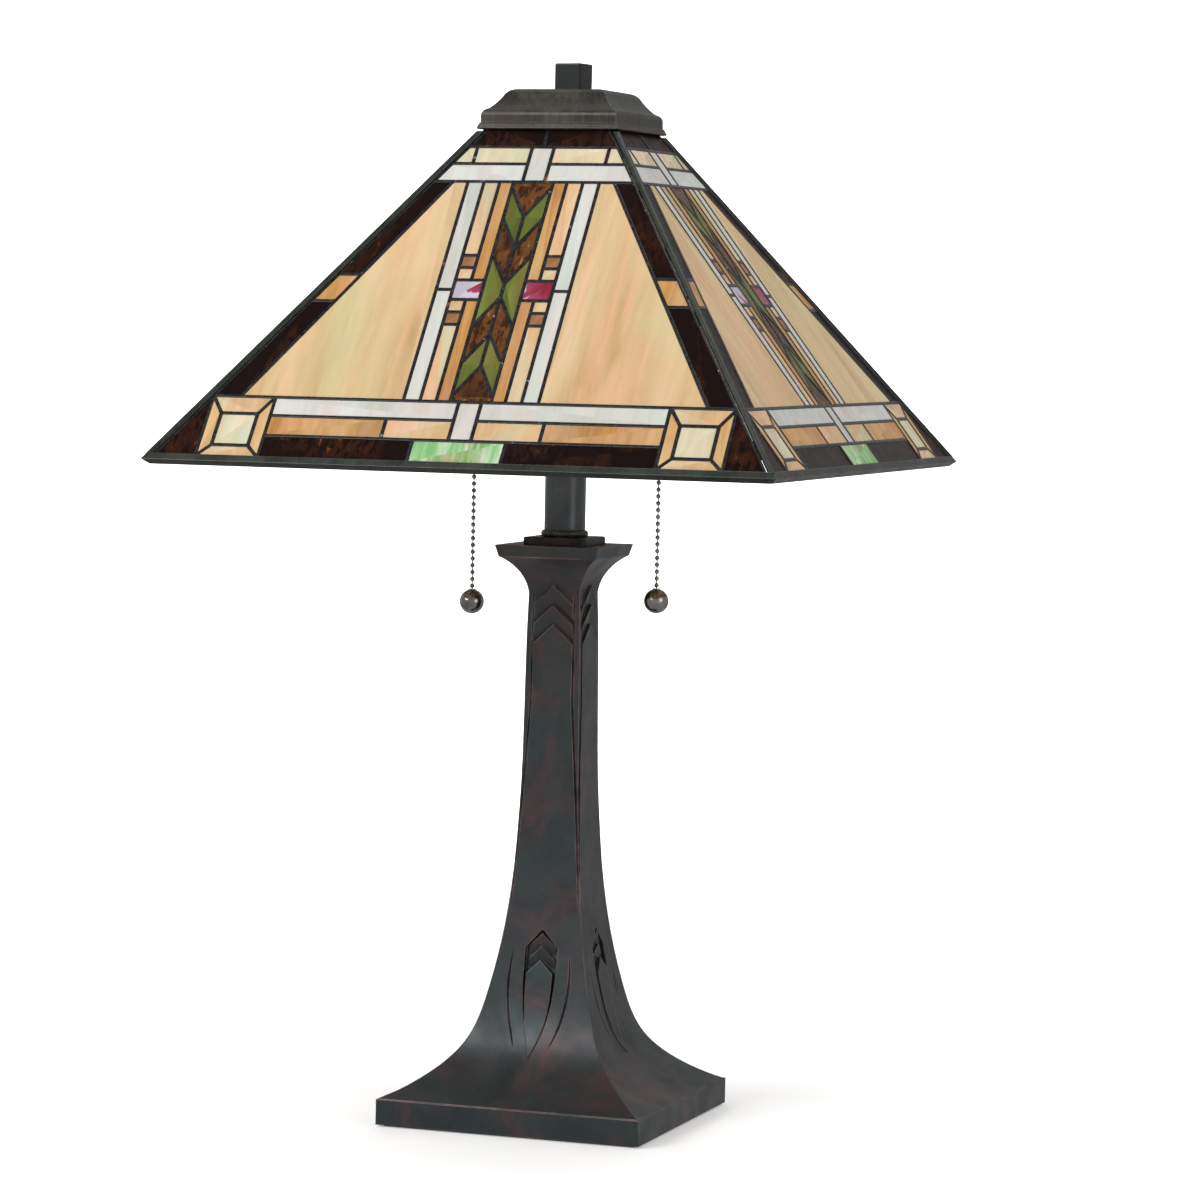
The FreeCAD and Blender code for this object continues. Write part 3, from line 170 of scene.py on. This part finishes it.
# ---- glass ------------------------------------------------------------------
def opal(name, deep, body, pale, streak=None, share=0.0, other=None, other_share=0.0,
         along=0.2, scale=34, vary=0.12):
    """Opalescent sheet: clouds and wisps drawn out up the pane, shifted and tinted by piece_random."""
    g = Graph(name)
    cloud = g.noise(g.pane(1.0, along, 0.7), scale, 5.0, 0.6, 0.9)
    fine = g.noise(g.pane(1.0, 0.08, 0.4), scale * 7, 3.0, 0.5, 0.2)
    blend = g.math("ADD", g.math("MULTIPLY", cloud, 0.82), g.math("MULTIPLY", fine, 0.18))
    colour = g.ramp(blend, [(0.34, deep), (0.50, body), (0.66, pale)])
    if streak:
        wisps = g.noise(g.pane(1.0, along * 0.7, 0.9), scale * 1.3, 6.0, 0.62, 1.4)
        colour = g.mix(g.ramp(wisps, [(0.46, 0.0), (0.66, share)]), colour, streak)
    if other:
        clouds = g.noise(g.pane(1.0, along * 1.4, 1.3), scale * 0.6, 4.0, 0.55, 0.8)
        colour = g.mix(g.ramp(clouds, [(0.48, 0.0), (0.64, other_share)]), colour, other)
    tint = g.ramp(g.piece_random(), [(0.0, (1.0 - vary, 1.0 - vary * 0.9, 1.0 - vary * 1.1)), (1.0, 1.0)])
    colour = g.mix(1.0, colour, tint, "MULTIPLY")
    ripple = g.noise(g.pane(1.0, 0.5, 0.3), 85, 2.0, 0.5, 0.3)
    rough = g.ramp(fine, [(0.3, 0.22), (0.7, 0.34)])
    return g.finish(colour, rough, 0.0, ripple, 0.20, 0.0006, IOR=1.4, Specular_IOR_Level=0.14)


def ripple_glass(name, dark, warm, bright, scale, low, high, sheen=0.15):
    """Hammered cathedral glass: nearly black, with amber light caught in some of its ripples."""
    g = Graph(name)
    fibre = g.noise(g.pane(1.0, 0.45, 0.5), scale, 3.0, 0.55, 1.6)
    pits = g.cells(g.pane(1.0, 0.6, 0.5), scale * 0.7)
    height = g.math("ADD", g.math("MULTIPLY", pits, 0.45), g.math("MULTIPLY", fibre, 0.65))
    colour = g.ramp(height, [(0.44, dark), (0.54, warm), (0.66, warm), (0.76, bright)])
    patch = g.noise(g.pane(1.0, 0.6, 0.9), 16, 3.0, 0.5, 0.8)
    lean = g.math("MULTIPLY_ADD", g.math("SUBTRACT", g.piece_random(), 0.5), 0.25, patch)
    colour = g.mix(g.ramp(lean, [(low, 0.0), (high, 1.0)]), dark, colour)
    return g.finish(colour, 0.22, 0.0, height, 0.6, 0.0009, IOR=1.4, Specular_IOR_Level=sheen)


def jewel_glass(name):
    """Grey lavender opal swirled into ruby, so that each square shows its own share of both."""
    g = Graph(name)
    where = g.pane(1.0, 1.0, 0.31)
    swirl = g.noise(where, 36, 3.0, 0.5, 1.2)
    lean = g.math("MULTIPLY_ADD", g.on_pane()[0], 4.5, swirl)
    colour = g.ramp(lean, [(0.34, (0.42, 0.38, 0.44)), (0.50, (0.55, 0.49, 0.56)), (0.55, (0.30, 0.05, 0.11)),
                           (0.70, (0.22, 0.014, 0.035))])
    ripple = g.noise(where, 140, 2.0)
    return g.finish(colour, 0.2, 0.0, ripple, 0.2, 0.0005, IOR=1.4, Specular_IOR_Level=0.35)


def frosted_bulb():
    g = Graph("bulb_frost")
    speck = g.noise(g.place(), 900, 2.0)
    colour = g.ramp(speck, [(0.3, (0.80, 0.79, 0.76)), (0.7, (0.88, 0.87, 0.84))])
    return g.finish(colour, 0.38, 0.0, speck, 0.05, 0.0002, IOR=1.46, Transmission_Weight=0.25)


# ---- metals -----------------------------------------------------------------
def aged_bronze(name="aged_bronze", shade=1.0, bloom=1.0, rough=(0.34, 0.50)):
    """Dark cast bronze: blue-green and red-brown bloom, casting grain, painted shade in its grooves and hollows,
    pinkish worn edges that are partly a painted edge highlight.
    """
    g = Graph(name)
    where = g.place()
    cloud = g.noise(where, 14, 6.0, 0.64, 0.8)
    base = g.ramp(cloud, [(0.32, (0.016, 0.020, 0.022)), (0.50, (0.026, 0.031, 0.034)), (0.68, (0.042, 0.043, 0.046))])
    green = g.ramp(g.noise(where, 19, 6.0, 0.64, 1.4), [(0.46, 0.0), (0.66, 0.7 * bloom)])
    base = g.mix(green, base, (0.022, 0.046, 0.046))
    red = g.ramp(g.noise(g.place((1, 1, 0.8)), 21, 6.0, 0.68, 0.9), [(0.48, 0.0), (0.66, 0.75 * bloom)])
    base = g.mix(red, base, (0.078, 0.038, 0.038))
    # painted shade: grooves and inner corners darkened nearly to black
    base = g.mix(g.painted_groove_shade(0.003, 0.40, 0.80), base, (0.006, 0.007, 0.008))
    # shade scales the whole colour: below 1 the finial's own darker bronze, above 1 a lighter copy that is a painted
    # highlight
    base = g.mix(1.0, base, (shade, shade, shade), "MULTIPLY")
    grain = g.noise(where, 800, 4.0, 0.65)
    patches = g.ramp(g.noise(where, 50, 5.0, 0.65), [(0.36, 0.10), (0.60, 1.0)])
    # edge colour: rubbed-through worn edges, and partly a painted highlight along the arrises
    wear = g.math("MULTIPLY", g.edge_wear_and_highlight(0.0013, 0.015, 0.20), patches)
    colour = g.mix(wear, base, (0.23, 0.155, 0.145))
    brush = g.noise(g.place((1, 1, 0.06)), 420, 2.0)
    height = g.math("ADD", g.math("MULTIPLY", grain, 0.6), g.math("MULTIPLY", brush, 0.4))
    roughness = g.ramp(g.noise(where, 45, 5.0), [(0.3, rough[0]), (0.7, rough[1])])
    return g.finish(colour, roughness, 0.35, height, 0.18, 0.0003, edge=0.0011, IOR=1.5,
                    Specular_IOR_Level=0.42)


def patina_metal(name, dark, light, edge_wear_and_highlight_colour, brushed=(1, 1, 1), metal=0.75, rough=(0.32, 0.5), bloom=None):
    """Patinated sheet or drawn metal, brushed along one direction, with bright edges: worn metal and partly a painted
    edge highlight.
    """
    g = Graph(name)
    where = g.place()
    lines = g.noise(g.place(brushed), 500, 3.0, 0.6)
    cloud = g.noise(where, 35, 5.0, 0.6, 0.6)
    blend = g.math("ADD", g.math("MULTIPLY", cloud, 0.6), g.math("MULTIPLY", lines, 0.4))
    colour = g.ramp(blend, [(0.36, dark), (0.64, light)])
    if bloom:
        colour = g.mix(g.ramp(g.noise(where, 55, 5.0), [(0.52, 0.0), (0.7, 0.5)]), colour, bloom)
    # bright edges: worn metal, and partly a painted edge highlight
    colour = g.mix(g.math("MULTIPLY", g.edge_wear_and_highlight(0.0006, 0.03, 0.3), 0.7), colour, edge_wear_and_highlight_colour)
    roughness = g.ramp(cloud, [(0.3, rough[0]), (0.7, rough[1])])
    return g.finish(colour, roughness, metal, lines, 0.15, 0.0002, edge=0.0006)


def solder():
    """Black-patinated solder: glossy dark bead with bright specks and a little bare copper foil."""
    g = Graph("lead_solder")
    where = g.place()
    lumps = g.noise(where, 330, 4.0, 0.6)
    colour = g.ramp(lumps, [(0.35, (0.010, 0.010, 0.011)), (0.7, (0.032, 0.032, 0.035))])
    speck = g.ramp(g.noise(where, 260, 2.0, 0.5, 0.5), [(0.70, 0.0), (0.76, 0.8)])
    colour = g.mix(speck, colour, (0.42, 0.42, 0.44))
    copper = g.ramp(g.noise(where, 48, 3.0), [(0.69, 0.0), (0.74, 0.75)])
    colour = g.mix(copper, colour, (0.45, 0.16, 0.07))
    return g.finish(colour, g.ramp(lumps, [(0.3, 0.22), (0.7, 0.42)]), 0.6, lumps, 0.35, 0.0004)


def polished(name, dark, light, rough=0.14):
    g = Graph(name)
    where = g.place()
    tarnish = g.noise(where, 160, 4.0, 0.6)
    scratches = g.noise(g.place((1, 1, 0.1)), 1500, 2.0)
    colour = g.ramp(tarnish, [(0.35, dark), (0.65, light)])
    roughness = g.ramp(tarnish, [(0.35, rough), (0.7, rough * 2.0)])
    return g.finish(colour, roughness, 1.0, scratches, 0.05, 0.0001)


def plain(name, dark, light, rough, scale=300, bump=0.3, metal=0.0, depth=0.0004):
    g = Graph(name)
    grain = g.noise(g.place(), scale, 5.0, 0.65)
    return g.finish(g.ramp(grain, [(0.3, dark), (0.7, light)]), rough, metal, grain, bump, depth)


def felt():
    g = Graph("felt_nap")
    nap = g.noise(g.place(), 1400, 4.0, 0.7)
    colour = g.ramp(nap, [(0.3, (0.012, 0.016, 0.013)), (0.7, (0.035, 0.042, 0.036))])
    return g.finish(colour, 0.95, 0.0, nap, 0.7, 0.0006, Sheen_Weight=0.4)


PINK, MINT = (0.72, 0.42, 0.32), (0.50, 0.60, 0.42)
GLASS = {
    "cream": opal("glass_cream", (0.46, 0.30, 0.14), (0.57, 0.40, 0.21), (0.67, 0.51, 0.31), (0.75, 0.42, 0.25), 0.75,
                  (0.55, 0.53, 0.29), 0.6, along=0.22, scale=24, vary=0.06),
    "tan": opal("glass_tan", (0.50, 0.31, 0.16), (0.63, 0.40, 0.21), (0.72, 0.52, 0.31), PINK, 0.5, MINT, 0.5),
    "honey": opal("glass_honey", (0.46, 0.28, 0.11), (0.60, 0.38, 0.17), (0.68, 0.47, 0.25), (0.50, 0.22, 0.07), 0.5),
    "amber": opal("glass_amber", (0.36, 0.155, 0.045), (0.50, 0.245, 0.075), (0.62, 0.36, 0.14), PINK, 0.3, MINT, 0.15),
    "white": opal("glass_white", (0.50, 0.47, 0.44), (0.60, 0.575, 0.545), (0.66, 0.65, 0.62), (0.64, 0.49, 0.43), 0.5,
                  (0.49, 0.59, 0.53), 0.5),
    "pale": opal("glass_pale", (0.50, 0.42, 0.27), (0.63, 0.55, 0.37), (0.71, 0.65, 0.48), MINT, 0.5, PINK, 0.4),
    "copper": opal("glass_copper", (0.17, 0.070, 0.026), (0.27, 0.120, 0.048), (0.36, 0.18, 0.080), PINK, 0.2),
    "green_opal": opal("glass_green_opal", (0.10, 0.30, 0.09), (0.20, 0.46, 0.17), (0.38, 0.58, 0.30),
                       (0.70, 0.72, 0.60), 0.95, (0.30, 0.16, 0.06), 0.5, scale=70),
    "leaf_green": opal("glass_leaf_green", (0.065, 0.088, 0.016), (0.120, 0.150, 0.028), (0.185, 0.210, 0.052),
                       (0.17, 0.10, 0.025), 0.7, vary=0.25),
    "dark_brown": ripple_glass("glass_dark_brown", (0.009, 0.0045, 0.004), (0.034, 0.011, 0.006), (0.24, 0.070, 0.020),
                               330, 0.42, 0.62, 0.06),
    "brown_ripple": ripple_glass("glass_brown_ripple", (0.034, 0.013, 0.006), (0.125, 0.047, 0.014),
                                 (0.42, 0.20, 0.065), 300, 0.20, 0.36),
    "violet": jewel_glass("glass_violet"),
}
BRONZE = aged_bronze()
# stem tube and ring: the same bronze lightened 2.1 times, a painted highlight for the tube's bright reflections; its
# lower roughness is real
TUBE_BRONZE_PAINTED_HIGHLIGHT = aged_bronze("tube_bronze_painted_highlight", 2.1, 0.5, (0.24, 0.34))
BLACK_BRONZE = aged_bronze("black_bronze", 0.2, 0.3, (0.30, 0.42))
SOLDER = solder()
CAME = patina_metal("came_metal", (0.022, 0.026, 0.022), (0.052, 0.058, 0.048), (0.30, 0.31, 0.27), (1, 1, 0.2))
CAP_METAL = patina_metal("cap_metal", (0.026, 0.025, 0.021), (0.070, 0.066, 0.056), (0.30, 0.29, 0.26), (1, 1, 0.05),
                         bloom=(0.045, 0.034, 0.026))
NICKEL = polished("dark_nickel", (0.20, 0.18, 0.16), (0.36, 0.34, 0.32))
BRASS = polished("socket_brass", (0.50, 0.34, 0.12), (0.72, 0.54, 0.25), 0.26)
STEEL = polished("zinc_steel", (0.40, 0.40, 0.42), (0.58, 0.58, 0.60), 0.3)
IRON = plain("cast_iron_rough", (0.03, 0.03, 0.032), (0.07, 0.07, 0.075), 0.65, 220, 0.5, 0.6)
BLACK = plain("black_moulding", (0.008, 0.008, 0.008), (0.016, 0.016, 0.016), 0.42)
PHENOLIC = plain("brown_phenolic", (0.035, 0.016, 0.008), (0.060, 0.030, 0.016), 0.35)
FIBRE = plain("red_fibre", (0.16, 0.055, 0.03), (0.24, 0.09, 0.05), 0.7)
FELT = felt()
BULB = frosted_bulb()


# ---- CAD nodes keep their shape and take these looks ------------------------
def wear(name, material):
    """Give a CAD node its material."""
    node = NODES[name]
    node.data.materials.clear()
    node.data.materials.append(material)
    return node


WELD_GAP = 2e-5
BEAD_WIDTH = 0.00055
BEAD_STEPS = 3
BEAD_ANGLE = math.radians(32)


def rounded(name, material):
    """The same, with the sharp edges of a solder line drawn down to a bead."""
    node = wear(name, material)
    node.modifiers.new("weld", "WELD").merge_threshold = WELD_GAP
    bead = node.modifiers.new("bead", "BEVEL")
    bead.width = BEAD_WIDTH
    bead.segments = BEAD_STEPS
    bead.limit_method = "ANGLE"
    bead.angle_limit = BEAD_ANGLE


def dress_nodes():
    for colour, material in GLASS.items():
        wear("glass_" + colour, material)
    for side in ("front", "right", "back", "left"):
        rounded("lead_lattice_" + side, SOLDER)
    for name in ("rim_came", "hip_cames"):
        wear(name, CAME)
    wear("vase_cap", CAP_METAL)
    wear("finial", BLACK_BRONZE)
    for name in ("column_casting", "foot_slab", "capital_plate", "plinth_block", "cluster_hub"):
        wear(name, BRONZE)
    for name in ("stem_ring", "stem_tube"):
        wear(name, TUBE_BRONZE_PAINTED_HIGHLIGHT)
    for name in ("centre_pipe", "socket_arms", "upper_rod", "seat_nut", "base_nut", "base_washer"):
        wear(name, STEEL)
    for name in ("shade_seat", "screw_shells", "finial_insert"):
        wear(name, BRASS)
    wear("friction_washer", FIBRE)
    wear("base_weight", IRON)
    wear("felt_pad", FELT)
    wear("cord_bushing", BLACK)
    for side in ("left", "right"):
        for name in ("socket_cap_", "socket_shell_", "bulb_base_", "switch_drum_"):
            wear(name + side, BRASS)
        for name in ("chain_guide_", "pull_link_", "pull_chain_", "pull_ball_"):
            wear(name + side, NICKEL)
        wear("switch_block_" + side, PHENOLIC)
        wear("bulb_glass_" + side, BULB)


dress_nodes()


# ---- floor, light, camera ---------------------------------------------------
def flat_material(name, colour, rough, glow):
    """Matt paper with a faint speckle and a little light of its own."""
    g = Graph(name)
    speckle = g.noise(g.place(), 60, 3.0)
    low = tuple(c * 0.985 for c in colour)
    paper = g.ramp(speckle, [(0.3, low), (0.7, colour)])
    g.join(paper, g.shader.inputs["Emission Color"])
    return g.finish(paper, rough, Emission_Strength=glow)


def stage():
    """Pale sweep: a floor that curves up into the backdrop, as one sheet."""
    radius, near, far, half, high, steps = 1.2, -4.0, 3.2, 6.0, 5.0, 16
    path = [(near, 0.0)]
    for i in range(steps + 1):
        angle = math.pi / 2 * i / steps
        path.append((far + radius * math.sin(angle), radius - radius * math.cos(angle)))
    path.append((far + radius, high))
    points = [(x, y, z) for y, z in path for x in (-half, half)]
    faces = [(2 * i, 2 * i + 1, 2 * i + 3, 2 * i + 2) for i in range(len(path) - 1)]
    mesh = bpy.data.meshes.new("sweep")
    mesh.from_pydata(points, [], faces)
    for polygon in mesh.polygons:
        polygon.use_smooth = True
    sweep = bpy.data.objects.new("sweep", mesh)
    bpy.context.scene.collection.objects.link(sweep)
    sweep.rotation_euler[2] = VIEW_TURN
    sweep.data.materials.append(flat_material("sweep_paper", (0.86, 0.86, 0.86), 0.8, 0.34))
    sweep.visible_glossy = False


def area_light(name, place, target, size, power):
    data = bpy.data.lights.new(name, "AREA")
    data.shape = "RECTANGLE"
    data.size, data.size_y = size
    data.energy = power
    lamp = bpy.data.objects.new(name, data)
    bpy.context.scene.collection.objects.link(lamp)
    lamp.location = place
    lamp.rotation_euler = (Vector(target) - Vector(place)).to_track_quat("-Z", "Y").to_euler()


# the viewpoint: distance, turn to the lamp's right, height, downward tilt, roll, lens and picture shift
VIEW_FAR = 2.868
VIEW_TURN = math.radians(19.8)
VIEW_HIGH = 0.518
VIEW_TILT = math.radians(3.43)
VIEW_ROLL = math.radians(1.12)
LENS_MM = 134.5
SHIFT = (0.0302, -0.0168)


def camera():
    data = bpy.data.cameras.new("view")
    data.sensor_width = 36
    data.lens = LENS_MM
    data.shift_x, data.shift_y = SHIFT
    data.clip_start, data.clip_end = 0.05, 50
    eye = bpy.data.objects.new("view", data)
    bpy.context.scene.collection.objects.link(eye)
    ahead = Vector((-math.sin(VIEW_TURN), math.cos(VIEW_TURN), 0))
    right = Vector((math.cos(VIEW_TURN), math.sin(VIEW_TURN), 0))
    up = Vector((0, 0, 1))
    look = ahead * math.cos(VIEW_TILT) - up * math.sin(VIEW_TILT)
    head = up * math.cos(VIEW_TILT) + ahead * math.sin(VIEW_TILT)
    side = right * math.cos(VIEW_ROLL) + head * math.sin(VIEW_ROLL)
    crown = head * math.cos(VIEW_ROLL) - right * math.sin(VIEW_ROLL)
    spot = Vector((VIEW_FAR * math.sin(VIEW_TURN), -VIEW_FAR * math.cos(VIEW_TURN), VIEW_HIGH))
    eye.matrix_world = Matrix((side, crown, -look)).transposed().to_4x4()
    eye.matrix_world.translation = spot
    bpy.context.scene.camera = eye


WORLD_STRENGTH = 0.42
MIDDLE = (0, 0, 0.4)
# name, place, what it faces, size and watts
LIGHTS = (
    ("key", (-1.6, -2.2, 2.0), MIDDLE, (1.6, 1.6), 62),
    ("fill", (2.4, -1.2, 1.1), MIDDLE, (1.2, 2.0), 16),
    ("top", (0.2, 0.4, 2.6), MIDDLE, (1.4, 1.4), 18),
    ("back_wash", (0.0, 1.6, 1.6), (0, 4.0, 0.6), (3.0, 2.0), 150),
)


def lighting():
    world = bpy.data.worlds.new("studio")
    world.use_nodes = True
    background = world.node_tree.nodes["Background"]
    background.inputs["Color"].default_value = (1.0, 1.0, 1.0, 1)
    background.inputs["Strength"].default_value = WORLD_STRENGTH
    bpy.context.scene.world = world
    for light in LIGHTS:
        area_light(*light)
    bpy.context.scene.view_settings.view_transform = "Standard"


stage()
camera()
lighting()
